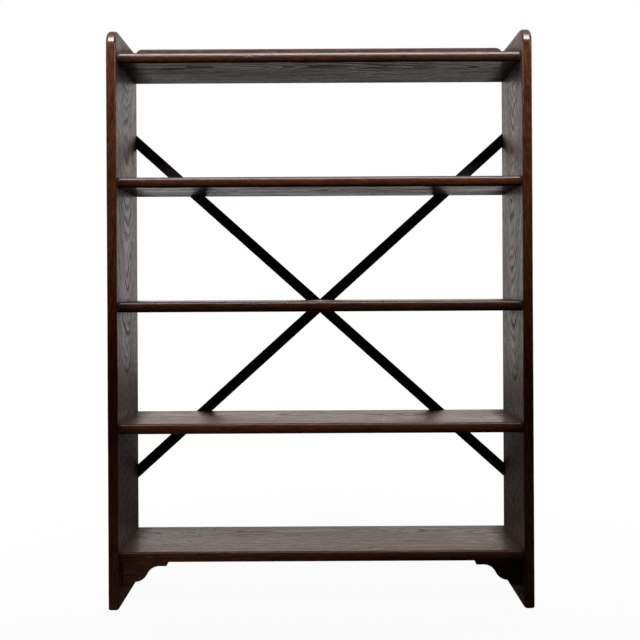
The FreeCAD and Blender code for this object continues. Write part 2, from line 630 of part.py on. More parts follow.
for shelf in SHELF_NAMES:
    pieces.append(make_group(shelf + "_screws", shelf_screw, screw_places(SCREW_POINT_X, shelf)))
for label, rotation in (("left_screw_pellets", HEAD_LEFT), ("right_screw_pellets", HEAD_RIGHT)):
    places = [place for shelf in SHELF_NAMES for place in screw_places(PELLET_SEAT_X, shelf)]
    pieces.append(make_group(label, pellet, [place for place in places if place[1] is rotation]))

gallery_screw = make_screw("gallery_screw", sunk_head_profile("Sizes.gallery_screw_length"))
GALLERY_SCREW_Z = "%s + Sizes.gallery_screw_length" % SHELF_UNDERSIDE["top_shelf"]
GALLERY_MIDDLE_Y = "%s - Sizes.gallery_thickness / 2" % BACK_Y
pieces.append(make_group("gallery_screws", gallery_screw,
                         [((x, GALLERY_MIDDLE_Y, GALLERY_SCREW_Z), HEAD_DOWN) for x in GALLERY_SCREW_X]))

SLOT_TURN = 37
strap_screw = make_round_screw("strap_screw", "Sizes.strap_screw_length")
crossing_screw = make_round_screw("crossing_screw", "(Sizes.strap_screw_length + Sizes.strap_thickness)")
STRAP_SCREW_Y = "%s + Sizes.strap_thickness - Sizes.strap_screw_length" % BACK_Y
STRAP_END_Z = ["%s %s Sizes.strap_end_rise" % (CROSSING_Z, way) for way in "-+"]
end_places = [((sign + STRAP_END_X, STRAP_SCREW_Y, z), HEAD_BACK)
              for sign in ("-", "") for z in STRAP_END_Z]
shelf_places = [((x, STRAP_SCREW_Y, "%s + %s" % (SHELF_UNDERSIDE[shelf], z)), HEAD_BACK)
                for shelf in ("fourth_shelf", "second_shelf") for x, z in STRAP_SCREWS[shelf]]
crossing_place = [(("0", STRAP_SCREW_Y, CROSSING_Z), HEAD_BACK)]
pieces.append(make_group("brace_end_screws", strap_screw, end_places, SLOT_TURN))
pieces.append(make_group("brace_shelf_screws", strap_screw, shelf_places, SLOT_TURN))
pieces.append(make_group("brace_centre_screw", crossing_screw, crossing_place))

doc.recompute()
for item in doc.Objects:
    require("Invalid" not in item.State and "Error" not in item.State, "%s failed" % item.Name)
for piece in pieces:
    require(not piece.Shape.isNull() and piece.Shape.isValid(), "%s has no sound shape" % piece.Label)

os.makedirs("parts", exist_ok=True)
for piece in pieces:
    piece.Shape.exportStep("parts/%s.step" % piece.Label)
    print("%-26s %2d solids %10.0f mm3" % (piece.Label, len(piece.Shape.Solids), piece.Shape.Volume))
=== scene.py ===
import math

import bmesh
import bpy
from mathutils import Euler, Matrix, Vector, noise


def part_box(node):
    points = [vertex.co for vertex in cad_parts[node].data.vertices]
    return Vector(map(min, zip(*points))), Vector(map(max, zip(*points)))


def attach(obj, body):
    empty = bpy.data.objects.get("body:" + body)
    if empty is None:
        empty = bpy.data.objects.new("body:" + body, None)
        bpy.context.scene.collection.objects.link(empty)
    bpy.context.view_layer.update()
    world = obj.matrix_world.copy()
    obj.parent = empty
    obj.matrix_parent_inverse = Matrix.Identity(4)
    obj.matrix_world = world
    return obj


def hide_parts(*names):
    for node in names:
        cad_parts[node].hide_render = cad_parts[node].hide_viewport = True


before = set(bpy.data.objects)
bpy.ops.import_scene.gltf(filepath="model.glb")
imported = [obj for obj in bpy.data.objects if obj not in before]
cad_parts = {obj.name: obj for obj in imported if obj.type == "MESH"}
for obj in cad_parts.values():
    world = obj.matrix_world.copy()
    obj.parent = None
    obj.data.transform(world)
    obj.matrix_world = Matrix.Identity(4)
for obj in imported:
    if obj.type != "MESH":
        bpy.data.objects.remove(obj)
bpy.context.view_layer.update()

# Sides
# Two upright planks of plain-sawn oak, stained dark and waxed. Their front and top edges are planed
# flat with rounded arrises, the feet are cut square, and stopped housings inside hold the shelf ends.
ACROSS = Vector((1, 0, 0))
BACKWARD = Vector((0, 1, 0))
UPWARD = Vector((0, 0, 1))
MERGE_DISTANCE = 1e-6
FLAT_ANGLE = math.radians(0.1)
SMOOTH_ANGLE = math.radians(40)
ARRIS_RADIUS = 0.0008
SIDE_NOSE = 0.0071
SIDE_CORNER = 0.036
PLANE_STROKE = 0.006
SIDE_RUB = 0.00014
HOLLOWS_PER_METRE = 24.0
SCRAPES_PER_METRE = 70.0
EVEN_RUB = 0.7
SCRAPE_RUB = 0.15
LEAST_WEAR = 0.4
EVEN_WEAR = 0.65
HOLLOW_WEAR = 0.7
SCRAPE_WEAR = 0.5


def solid_of(node):
    """A CAD solid as one closed mesh: its triangles joined, its flat faces made whole again."""
    solid = bmesh.new()
    solid.from_mesh(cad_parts[node].data)
    bmesh.ops.remove_doubles(solid, verts=solid.verts, dist=MERGE_DISTANCE)
    bmesh.ops.dissolve_limit(solid, angle_limit=FLAT_ANGLE, use_dissolve_boundaries=True,
                             verts=solid.verts, edges=solid.edges, delimit=set())
    return solid


def faces_at(solid, wanted):
    """The faces whose middle points are wanted."""
    return [face for face in solid.faces if wanted(face.calc_center_median())]


def cut_at(solid, faces, place, axis):
    """Cuts faces in two where a plane square to an axis meets them, and gives the new edges."""
    edges = {edge for face in faces for edge in face.edges}
    corners = {vertex for face in faces for vertex in face.verts}
    cut = bmesh.ops.bisect_plane(solid, geom=[*faces, *edges, *corners], dist=MERGE_DISTANCE,
                                 plane_co=axis * place, plane_no=axis)
    return [edge for edge in cut["geom_cut"] if isinstance(edge, bmesh.types.BMEdge)]


def round_back(solid, face_x, inward, back_y, radius):
    """Rubs the upright arris between a plank's face and its back down to a small round."""
    centre_y = back_y - radius
    cut_at(solid, list(solid.faces), centre_y, BACKWARD)
    strips = faces_at(solid, lambda middle: middle.y > centre_y)
    cut_at(solid, strips, face_x + inward * radius, ACROSS)
    for vertex in solid.verts:
        outward = radius - (vertex.co.x - face_x) * inward
        behind = vertex.co.y - centre_y
        reach = math.hypot(outward, behind)
        if outward > 0 and behind > 0 and reach > radius:
            vertex.co.x = face_x + inward * (radius - outward * radius / reach)
            vertex.co.y = centre_y + behind * radius / reach


def cut_across(solid, strips, axis, step):
    """Cuts long strips of faces into short ones along an axis, so that they can wear unevenly."""
    reach = [vertex.co.dot(axis) for strip in strips for vertex in strip.verts]
    start, end = min(reach), max(reach)
    count = round((end - start) / step)
    uncut = set(strips)
    for number in range(1, count):
        place = start + (end - start) * number / count
        fresh = cut_at(solid, uncut, place, axis)
        beyond = {strip for edge in fresh for strip in edge.link_faces}
        uncut = {strip for strip in beyond if strip.calc_center_median().dot(axis) > place}


def rub(solid, faces, depth, seed):
    """Wears faces into shallow hollows and scrapes, and marks how far their finish has gone."""
    worn = solid.verts.layers.float.new("wear")
    rubbed = set(faces)
    solid.normal_update()
    for vertex in {vertex for face in faces for vertex in face.verts}:
        if rubbed.issuperset(vertex.link_faces):
            place = vertex.co + Vector((seed, 0, 0))
            hollow = noise.noise(place * HOLLOWS_PER_METRE)
            scrape = noise.noise(place * SCRAPES_PER_METRE)
            wear = EVEN_WEAR + HOLLOW_WEAR * hollow + SCRAPE_WEAR * scrape
            vertex[worn] = min(1.0, max(LEAST_WEAR, wear))
            vertex.co -= vertex.normal * depth * (EVEN_RUB + hollow + SCRAPE_RUB * scrape)


def make_piece(solid, name, node, finish):
    """A finished board or bar that stands for its CAD node and rides with it."""
    solid.normal_update()
    mesh = bpy.data.meshes.new(name)
    solid.to_mesh(mesh)
    solid.free()
    for leftover in ("custom_normal", "sharp_face", "sharp_edge"):
        if leftover in mesh.attributes:
            mesh.attributes.remove(mesh.attributes[leftover])
    mesh.materials.clear()
    mesh.materials.append(finish)
    mesh.shade_smooth()
    mesh.set_sharp_from_angle(angle=SMOOTH_ANGLE)
    piece = bpy.data.objects.new(name, mesh)
    bpy.context.scene.collection.objects.link(piece)
    even = piece.modifiers.new("even_normals", "WEIGHTED_NORMAL")
    even.keep_sharp = True
    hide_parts(node)
    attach(piece, "root")


def blank_tree(owner):
    """The emptied shader tree of a new material or world."""
    owner.use_nodes = True
    owner.node_tree.nodes.clear()
    return owner.node_tree


def add_node(tree, kind, inputs, out=0, **settings):
    """One shader node. Its inputs, by order or by name, are plain values or other outputs."""
    made = tree.nodes.new("ShaderNode" + kind)
    for setting, value in settings.items():
        setattr(made, setting, value)
    for key, value in inputs.items() if isinstance(inputs, dict) else enumerate(inputs):
        if isinstance(value, bpy.types.NodeSocket):
            tree.links.new(value, made.inputs[key])
        else:
            made.inputs[key].default_value = value
    return made.outputs[out] if made.outputs else None


def speckle(tree, place, stretch, detail, out=0):
    """Noise whose grains are 1 / stretch metres long in each direction."""
    stretched = add_node(tree, "VectorMath", [place, stretch], operation="MULTIPLY")
    return add_node(tree, "TexNoise", {"Vector": stretched, "Scale": 1.0, "Detail": detail}, out)


def rise(tree, value, start, end, low=0.0, high=1.0):
    """A soft step from low to high as a value goes from start to end."""
    return add_node(tree, "MapRange", {"Value": value, "From Min": start, "From Max": end,
                                       "To Min": low, "To Max": high}, interpolation_type="SMOOTHSTEP")


NOISE_MIDDLE = (0.3, 0.7)


def blotch(tree, speckles, low, high):
    """A value that goes from low to high over the middle of a noise's range."""
    return rise(tree, speckles, *NOISE_MIDDLE, low, high)


def sums(tree, operation, first, second=0.0):
    """One step of arithmetic on two values."""
    return add_node(tree, "Math", [first, second], operation=operation)


def tinted(tree, share, colour, other, blend="MIX"):
    """One colour laid over another by a share."""
    return add_node(tree, "MixRGB", [share, colour, other], blend_type=blend)


NOISE_CENTRE = (0.5, 0.5, 0.5)
SQUARE_TO_GRAIN = (1.0, 1.0, 0.0)
RING_WIDTH = 0.0034
SPRING_START = (0.0, 0.10)
SPRING_END = (0.22, 0.75)
POOR_YEAR = 0.35
SWAY_GRAIN = (7.0, 7.0, 2.6)
SWAY_DEPTH = (0.030, 0.030, 0.0)
PORE_GRAIN = (950.0, 950.0, 48.0)
PORE_EDGE = (0.52, 0.66)
SUMMER_PORES = 0.3
STREAK_GRAIN = (420.0, 420.0, 14.0)
MOTTLE_GRAIN = (260.0, 260.0, 60.0)
PATCH_GRAIN = (9.0, 9.0, 2.2)
RAY_GRAIN = (210.0, 42.0, 70.0)
RAY_EDGE = (0.62, 0.70)


def oak_figure(tree, log):
    """What the saw lays open in a log: spring wood, pores, streaks, mottle, patches and ray flecks."""
    sway = speckle(tree, log, SWAY_GRAIN, 4.0, "Color")
    sway = add_node(tree, "VectorMath", [sway, NOISE_CENTRE], operation="SUBTRACT")
    sway = add_node(tree, "VectorMath", [sway, SWAY_DEPTH], operation="MULTIPLY")
    fibre = add_node(tree, "VectorMath", [log, sway], operation="ADD")
    across = add_node(tree, "VectorMath", [fibre, SQUARE_TO_GRAIN], operation="MULTIPLY")
    radius = add_node(tree, "VectorMath", [across], "Value", operation="LENGTH")
    years = sums(tree, "MULTIPLY", radius, 1 / RING_WIDTH)
    season = sums(tree, "FRACT", years)
    growth = add_node(tree, "TexWhiteNoise", {"W": sums(tree, "FLOOR", years)}, noise_dimensions="1D")
    spring = rise(tree, season, *SPRING_START)
    spring = sums(tree, "MULTIPLY", spring, rise(tree, season, *SPRING_END, 1.0, 0.0))
    spring = sums(tree, "MULTIPLY", spring, rise(tree, growth, 0.0, 1.0, POOR_YEAR, 1.0))
    pores = rise(tree, speckle(tree, fibre, PORE_GRAIN, 2.0), *PORE_EDGE)
    pores = sums(tree, "MULTIPLY", pores, rise(tree, spring, 0.0, 1.0, SUMMER_PORES, 1.0))
    fibre_parts = add_node(tree, "SeparateXYZ", [fibre]).node.outputs
    angle = sums(tree, "ARCTAN2", fibre_parts["Y"], fibre_parts["X"])
    ray_place = add_node(tree, "CombineXYZ", [angle, radius, fibre_parts["Z"]])
    return {
        "spring": spring,
        "pores": pores,
        "streaks": speckle(tree, fibre, STREAK_GRAIN, 4.0),
        "mottle": speckle(tree, fibre, MOTTLE_GRAIN, 3.0),
        "patches": speckle(tree, fibre, PATCH_GRAIN, 2.0),
        "rays": rise(tree, speckle(tree, ray_place, RAY_GRAIN, 1.0), *RAY_EDGE)}


STAIN_DARK = (0.028, 0.0066, 0.0023, 1)
STAIN_LIGHT = (0.096, 0.0275, 0.0088, 1)
STAIN_PORE = (0.0070, 0.0022, 0.0010, 1)
WORN_BROWN = (0.165, 0.052, 0.018, 1)
END_BROWN = (0.0090, 0.0040, 0.0026, 1)
SPRING_SHARE = 0.5
RAY_SHARE = 0.5
RAY_LIFT = 1.5
PORE_SHARE = 0.85
END_SHARE = 0.85
STREAK_SPAN = (0.25, 0.75)
STREAK_SHARES = (0.15, 0.85)
MOTTLE_SHADE = (0.82, 1.14)
PATCH_SHADE = (0.86, 1.14)


def oak_stain(tree, figure, stain, worn):
    """Stained oak: light and dark streaks, dark rings, pale rays, and brown where it is worn."""
    dark, light = stain
    pale = (*(RAY_LIFT * part for part in light[:3]), 1)
    colour = tinted(tree, rise(tree, figure["streaks"], *STREAK_SPAN, *STREAK_SHARES), dark, light)
    colour = tinted(tree, sums(tree, "MULTIPLY", figure["spring"], SPRING_SHARE), colour, dark)
    colour = tinted(tree, sums(tree, "MULTIPLY", figure["rays"], RAY_SHARE), colour, pale)
    colour = tinted(tree, worn, colour, WORN_BROWN)
    for speckles, span in (("mottle", MOTTLE_SHADE), ("patches", PATCH_SHADE)):
        shade = add_node(tree, "CombineColor", [blotch(tree, figure[speckles], *span)] * 3)
        colour = tinted(tree, 1.0, colour, shade, "MULTIPLY")
    return colour


SPRING_DULL = 0.26
PORE_DULL = 0.3
PATCH_DULL = (-0.05, 0.07)
STREAK_DULL = (0.13, -0.11)


def oak_dullness(tree, figure, polish):
    """How rough the waxed oak is: smooth on the summer wood, dull in spring wood and pores."""
    dull = rise(tree, figure["spring"], 0.0, 1.0, polish, polish + SPRING_DULL)
    dull = sums(tree, "ADD", dull, sums(tree, "MULTIPLY", figure["pores"], PORE_DULL))
    dull = sums(tree, "ADD", dull, blotch(tree, figure["patches"], *PATCH_DULL))
    return sums(tree, "ADD", dull, blotch(tree, figure["streaks"], *STREAK_DULL))


# Painted shade: a darker, redder tint laid on worn faces about a height, standing in for light that falls
# off down the case.
PAINTED_SHADE_TINT = (0.50, 0.28, 0.40, 1)
PAINTED_SHADE_CORE = 0.04
PAINTED_SHADE_REACH = 0.30
PAINTED_SHADE_WEAR = 0.3
# Painted shade: a darker tint and a duller finish towards a shelf's ends, where the shade of the sides
# falls.
CORNER_SHADE_TINT = (0.45, 0.40, 0.40, 1)
CORNER_SHADE_REACH = 0.06
CORNER_SHADE_DULL = 0.45
RUBBED_MOTTLE = (0.35, 0.65)
RUBBED_SMOOTH = 0.6
END_FACING = (0.25, 0.8)
PORE_DEPTH = 0.0004
STREAK_HEIGHT = 0.7
SPRING_SUNK = 0.8
RELIEF_LEFT = (0.95, 0.10)
WAX_COAT = 0.06
WAX_DULL = 0.22


def oak(name, turn, pith, stain=(STAIN_DARK, STAIN_LIGHT), polish=0.32, wear=0.30, shine=0.5,
        rubbed_polish=0.19, shaded_height=None, corner=None):
    """Waxed oak from a log whose pith lies at a place, with painted shade laid about a height, and painted
    shade and a duller finish towards the corners.
    """
    finish = bpy.data.materials.new(name)
    tree = blank_tree(finish)
    place = add_node(tree, "TexCoord", [], "Object")
    log = add_node(tree, "Mapping", {"Vector": place, "Rotation": turn, "Location": pith})
    figure = oak_figure(tree, log)
    handled = add_node(tree, "Attribute", [], "Fac", attribute_name="wear")
    rubbed = sums(tree, "MULTIPLY", handled, rise(tree, figure["mottle"], *RUBBED_MOTTLE))

    colour = oak_stain(tree, figure, stain, sums(tree, "MULTIPLY", rubbed, wear))
    # Painted shade: the worn faces are darkened about the given height, where less light reaches.
    if shaded_height is not None:
        away = sums(tree, "SUBTRACT", add_node(tree, "SeparateXYZ", [place], "Z"), shaded_height)
        painted_shade = rise(tree, sums(tree, "ABSOLUTE", away), PAINTED_SHADE_CORE, PAINTED_SHADE_REACH, 1.0, 0.0)
        painted_shade = sums(tree, "MULTIPLY", painted_shade, rise(tree, handled, 0.0, PAINTED_SHADE_WEAR))
        colour = tinted(tree, painted_shade, colour, PAINTED_SHADE_TINT, "MULTIPLY")
    colour = tinted(tree, sums(tree, "MULTIPLY", figure["pores"], PORE_SHARE), colour, STAIN_PORE)
    facing = add_node(tree, "TexCoord", [], "Normal")
    grain = Euler(turn).to_matrix()[2]
    along = add_node(tree, "VectorMath", [facing, grain], "Value", operation="DOT_PRODUCT")
    end_grain = rise(tree, sums(tree, "ABSOLUTE", along), *END_FACING, 0.0, END_SHARE)
    colour = tinted(tree, end_grain, colour, END_BROWN)

    dull = oak_dullness(tree, figure, polish)
    # Painted shade towards the shelf ends by the sides, with a duller finish there.
    if corner is not None:
        out = sums(tree, "ABSOLUTE", add_node(tree, "SeparateXYZ", [place], "X"))
        corner_shade = rise(tree, out, corner - CORNER_SHADE_REACH, corner)
        dull = sums(tree, "ADD", dull, sums(tree, "MULTIPLY", corner_shade, CORNER_SHADE_DULL))
        colour = tinted(tree, corner_shade, colour, CORNER_SHADE_TINT, "MULTIPLY")
    gloss = sums(tree, "SUBTRACT", dull, rubbed_polish)
    gloss = sums(tree, "MULTIPLY", gloss, rise(tree, handled, 0.0, RUBBED_SMOOTH))
    dull = sums(tree, "SUBTRACT", dull, gloss)

    height = sums(tree, "MULTIPLY", figure["streaks"], STREAK_HEIGHT)
    height = sums(tree, "SUBTRACT", height, figure["pores"])
    height = sums(tree, "SUBTRACT", height, sums(tree, "MULTIPLY", figure["spring"], SPRING_SUNK))
    strength = rise(tree, handled, 0.0, RUBBED_SMOOTH, *RELIEF_LEFT)
    relief = add_node(tree, "Bump", {"Strength": strength, "Distance": PORE_DEPTH, "Height": height})
    surface = add_node(tree, "BsdfPrincipled", {
        "Base Color": colour, "Roughness": dull, "Normal": relief, "Specular IOR Level": shine,
        "Coat Weight": WAX_COAT, "Coat Roughness": WAX_DULL})
    add_node(tree, "OutputMaterial", {"Surface": surface})
    return finish


LEAN_BACK = 0.010
LEAN_OUT = -0.12
PITH_BACK = 0.02
# Height of the painted shade band on the sides' front edges.
PAINTED_SHADE_HEIGHT = 0.46
for label, way, pith_depth in (("left", 1, 0.270), ("right", -1, 0.255)):
    low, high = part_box(label + "_side")
    solid = solid_of(label + "_side")
    round_back(solid, low.x, 1, high.y, ARRIS_RADIUS)
    round_back(solid, high.x, -1, high.y, ARRIS_RADIUS)
    nose_y = low.y + SIDE_NOSE
    nose_z = high.z - SIDE_NOSE
    front = faces_at(solid, lambda middle: middle.y < nose_y and middle.z < high.z - SIDE_CORNER)
    cut_across(solid, front, UPWARD, PLANE_STROKE)
    top = faces_at(solid, lambda middle: middle.z > nose_z and middle.y > low.y + SIDE_CORNER)
    cut_across(solid, top, BACKWARD, PLANE_STROKE)
    rim = faces_at(solid, lambda middle: middle.y < nose_y or middle.z > nose_z)
    rub(solid, rim, SIDE_RUB, low.x)
    lean = (LEAN_BACK, LEAN_OUT * way, 0.0)
    pith = (-(low.x + high.x) / 2 + pith_depth * way, PITH_BACK, 0.0)
    finish = oak(label + "_side_oak", lean, pith, shaded_height=PAINTED_SHADE_HEIGHT)
    make_piece(solid, label + "_side_plank", label + "_side", finish)

# Shelves
# Five oak boards with the grain lengthwise and the front edge worked to a round. A tongue along the
# lower half of each end sits in the sides' housings. The front edges are rubbed by use.
SQUARE_ANGLE = math.radians(50)
LONG_EDGE = 0.01
SHELF_NOSE = 0.0061
NOSE_STRIP = 0.002
FACING_FRONT = -0.99
SHELF_RUB = 0.00022
LENGTHWISE = -math.pi / 2
SHELF_LEAN = 0.032
SHELF_PITH = (0.06, -0.06, 0.0)
SHELF_PITH_STEP = (0.012, 0.03, 0.37)
SHELF_POLISH = 0.19
SHELF_WEAR = 0.15
SHELF_SHINE = 0.34
NOSE_POLISH = 0.30
# How much stain each shelf took, from the bottom up. Boards differ, and the lower shelves are also painted
# lighter and the top one darker, painted light that evens out the lamp's fall-off.
STAIN_AND_LIGHT_TAKEN = (2.0, 2.2, 0.80, 1.15, 0.50)
SHELVES = ("bottom_shelf", "fourth_shelf", "third_shelf", "second_shelf", "top_shelf")


def ease_arrises(solid, radius, edges):
    """Rubs those of the edges that are square down to a small round, as glass paper does."""
    square = [edge for edge in edges if edge.is_manifold and edge.calc_face_angle_signed() > SQUARE_ANGLE]
    bmesh.ops.bevel(solid, geom=square, offset=radius, affect="EDGES", segments=2, profile=0.5,
                    material=-1, clamp_overlap=True)


def back_edges(solid, back_y):
    """The long edges that lie in a board's back."""
    return [edge for edge in solid.edges if edge.calc_length() > LONG_EDGE
            and sum(vertex.co.y for vertex in edge.verts) / 2 > back_y - MERGE_DISTANCE]


def nose_of(solid, front_y):
    """The faces of a shelf's front edge."""
    return faces_at(solid, lambda middle: middle.y < front_y + SHELF_NOSE)


def crown(solid, low, high, depth):
    """Works a board's front edge to one even round over its whole thickness."""
    middle = (low.z + high.z) / 2
    half = (high.z - low.z) / 2
    for vertex in solid.verts:
        if vertex.co.y < low.y + depth:
            share = min(1.0, abs(vertex.co.z - middle) / half)
            vertex.co.y = low.y + depth * (1 - math.sqrt(1 - share ** 2))


def moved(place, step, number):
    """A place moved on by a number of steps."""
    return tuple(part + number * stride for part, stride in zip(place, step))


for number, shelf in enumerate(SHELVES):
    low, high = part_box(shelf)
    solid = solid_of(shelf)
    ease_arrises(solid, ARRIS_RADIUS, back_edges(solid, high.y))
    flat_front = [face for face in nose_of(solid, low.y) if face.normal.y < FACING_FRONT]
    cut_across(solid, flat_front, UPWARD, NOSE_STRIP)
    crown(solid, low, high, SHELF_NOSE)
    cut_across(solid, nose_of(solid, low.y), ACROSS, PLANE_STROKE)
    rub(solid, nose_of(solid, low.y), SHELF_RUB, number)
    turn = (0.0, LENGTHWISE + SHELF_LEAN * (-1) ** number, 0.0)
    pith_out, *pith_rest = moved(SHELF_PITH, SHELF_PITH_STEP, number)
    pith = ((low.z + high.z) / 2 + pith_out, *pith_rest)
    # Each shelf's stain is scaled partly for the board and partly as painted light for its height.
    stain_and_light = STAIN_AND_LIGHT_TAKEN[number]
    stain = [(*(stain_and_light * part for part in colour[:3]), 1) for colour in (STAIN_DARK, STAIN_LIGHT)]
    # Painted shade darkens each shelf towards its ends, by the sides.
    finish = oak(shelf + "_oak", turn, pith, stain, SHELF_POLISH, SHELF_WEAR, SHELF_SHINE, NOSE_POLISH,
                 corner=high.x)
    make_piece(solid, shelf + "_board", shelf, finish)

# Shelf screws and pellets
# Plain steel wood screws hold the shelf tongues through the sides, two at each end. Oak pellets
# glued over their heads are pared flush and stained with the sides.
STEEL_GREY = (0.36, 0.345, 0.325, 1)
STEEL_RUST = (0.115, 0.060, 0.035, 1)
STEEL_DULL = 0.38
RUST_DULL = 0.75
RUST_METAL = 0.2
RUST_GRAIN = (420.0, 420.0, 420.0)
RUST_EDGE = (0.50, 0.66)
TURNING_GRAIN = (2600.0, 2600.0, 2600.0)
TURNING_DEPTH = 0.0001
TURNING_RELIEF = 0.2
PELLET_LIGHT = (0.085, 0.034, 0.0145, 1)
PELLET_TURN = (0.0, 0.09, 0.4)
PELLET_PITH = (0.05, 0.11, 0.0)
PELLET_POLISH = 0.42


def dull_steel(name):
    """Bare steel gone dull, with freckles of rust."""
    finish = bpy.data.materials.new(name)
    tree = blank_tree(finish)
    place = add_node(tree, "TexCoord", [], "Object")
    rust = rise(tree, speckle(tree, place, RUST_GRAIN, 4.0), *RUST_EDGE)
    turning = speckle(tree, place, TURNING_GRAIN, 2.0)
    relief = add_node(tree, "Bump", {
        "Strength": TURNING_RELIEF, "Distance": TURNING_DEPTH, "Height": turning})
    surface = add_node(tree, "BsdfPrincipled", {
        "Base Color": tinted(tree, rust, STEEL_GREY, STEEL_RUST),
        "Metallic": rise(tree, rust, 0.0, 1.0, 1.0, RUST_METAL),
        "Roughness": rise(tree, rust, 0.0, 1.0, STEEL_DULL, RUST_DULL), "Normal": relief})
    add_node(tree, "OutputMaterial", {"Surface": surface})
    return finish


def refinish(node, finish):
    """Gives a CAD node that keeps its own shape a finish."""
    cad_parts[node].data.materials.clear()
    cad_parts[node].data.materials.append(finish)


screw_steel = dull_steel("screw_steel")
for shelf in SHELVES:
    refinish(shelf + "_screws", screw_steel)
for label in ("left", "right"):
    low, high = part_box(label + "_screw_pellets")
    pith = (PELLET_PITH[0] - low.x, *PELLET_PITH[1:])
    finish = oak(label + "_pellet_oak", PELLET_TURN, pith, (STAIN_DARK, PELLET_LIGHT), PELLET_POLISH)
    refinish(label + "_screw_pellets", finish)

# Back gallery
# A low oak rail that stands along the back of the top shelf in a shallow rebate, its upper corners
# rounded and its top arris eased. Four screws come up into it through the shelf.
GALLERY_DARK = (0.018, 0.0058, 0.0026, 1)
GALLERY_LIGHT = (0.048, 0.0170, 0.0074, 1)
GALLERY_TURN = (0.0, LENGTHWISE + 0.012, 0.9)
GALLERY_PITH = (1.26, -0.02, 1.7)
GALLERY_POLISH = 0.40
GALLERY_SHINE = 0.15
gallery_oak = oak("gallery_oak", GALLERY_TURN, GALLERY_PITH, (GALLERY_DARK, GALLERY_LIGHT),
                  GALLERY_POLISH, shine=GALLERY_SHINE)
make_piece(solid_of("back_gallery"), "back_gallery_rail", "back_gallery", gallery_oak)
refinish("gallery_screws", screw_steel)

# Foot brackets and glue blocks
# Two boards sawn to a double curve fill the corners under the bottom shelf. A short bare oak block
# is rubbed into the corner behind each one with glue.
SAWN_ARRIS = 0.0006
# Painted light: the brackets' stain is made much lighter, standing in for light that doesn't reach under the
# bottom shelf.
BRACKET_PAINTED_LIGHT = (0.260, 0.075, 0.0240, 1)
BRACKET_TURN = (0.3, LENGTHWISE + 0.05, 0.0)
BRACKET_PITH = (0.14, 0.12, 2.1)
BRACKET_PITH_STEP = (0.03, 0.0, 1.0)
BRACKET_POLISH = 0.46
BLOCK_DARK = (0.075, 0.045, 0.026, 1)
BLOCK_LIGHT = (0.200, 0.130, 0.078, 1)
BLOCK_TURN = (0.0, LENGTHWISE, 0.0)
BLOCK_PITH = (0.16, 0.0, 3.0)
BLOCK_PITH_STEP = (0.0, 0.05, 1.0)
BLOCK_POLISH = 0.7
for number, label in enumerate(("left", "right")):
    solid = solid_of(label + "_foot_bracket")
    ease_arrises(solid, SAWN_ARRIS, solid.edges)
    pith = moved(BRACKET_PITH, BRACKET_PITH_STEP, number)
    # The bracket's lighter stain is painted light.
    finish = oak(label + "_bracket_oak", BRACKET_TURN, pith, (STAIN_LIGHT, BRACKET_PAINTED_LIGHT), BRACKET_POLISH)
    make_piece(solid, label + "_bracket_board", label + "_foot_bracket", finish)
    solid = solid_of(label + "_glue_block")
    ease_arrises(solid, SAWN_ARRIS, solid.edges)
    pith = moved(BLOCK_PITH, BLOCK_PITH_STEP, number)
    finish = oak(label + "_block_oak", BLOCK_TURN, pith, (BLOCK_DARK, BLOCK_LIGHT), BLOCK_POLISH)
    make_piece(solid, label + "_block_stick", label + "_glue_block", finish)

# Iron straps and their screws
# Two flat iron bars, black japanned, cross behind the shelves and keep the case square. Slotted
# round-headed screws hold them to the back edges. One bar is set out to pass over the other.
JAPAN_BLACK = (0.0045, 0.0042, 0.0040, 1)
BARE_IRON = (0.055, 0.047, 0.041, 1)
BARE_METAL = 0.7
HAMMER_GRAIN = (90.0, 90.0, 90.0)
HAMMER_HEIGHT = 0.8
BRUSH_GRAIN = (700.0, 700.0, 700.0)
BRUSH_HEIGHT = 0.25
JAPAN_DULL = (0.36, 0.56)
JAPAN_DEPTH = 0.0004
JAPAN_RELIEF = 0.35
CHIP_GRAIN = (260.0, 260.0, 260.0)
CHIP_EDGE = (0.58, 0.64)
STRAP_CHIPPED = 0.25
SCREW_CHIPPED = 0.6


def black_iron(name, chipped):
    """Iron under black varnish, a little brushy and uneven, and chipped here and there."""
    finish = bpy.data.materials.new(name)
    tree = blank_tree(finish)
    place = add_node(tree, "TexCoord", [], "Object")
    hammered = speckle(tree, place, HAMMER_GRAIN, 3.0)
    brushed = speckle(tree, place, BRUSH_GRAIN, 3.0)
    chips = rise(tree, speckle(tree, place, CHIP_GRAIN, 5.0), *CHIP_EDGE)
    bare = sums(tree, "MULTIPLY", chips, chipped)
    height = sums(tree, "MULTIPLY", hammered, HAMMER_HEIGHT)
    height = sums(tree, "ADD", height, sums(tree, "MULTIPLY", brushed, BRUSH_HEIGHT))
    relief = add_node(tree, "Bump", {
        "Strength": JAPAN_RELIEF, "Distance": JAPAN_DEPTH, "Height": height})
    surface = add_node(tree, "BsdfPrincipled", {
        "Base Color": tinted(tree, bare, JAPAN_BLACK, BARE_IRON),
        "Roughness": blotch(tree, brushed, *JAPAN_DULL),
        "Metallic": sums(tree, "MULTIPLY", bare, BARE_METAL), "Normal": relief})
    add_node(tree, "OutputMaterial", {"Surface": surface})
    return finish


strap_iron = black_iron("japanned_strap_iron", STRAP_CHIPPED)
for label in ("rising", "falling"):
    make_piece(solid_of(label + "_brace"), label + "_brace_strap", label + "_brace", strap_iron)
strap_screw_iron = black_iron("blacked_screw_iron", SCREW_CHIPPED)
for group in ("brace_end_screws", "brace_shelf_screws", "brace_centre_screw"):
    refinish(group, strap_screw_iron)

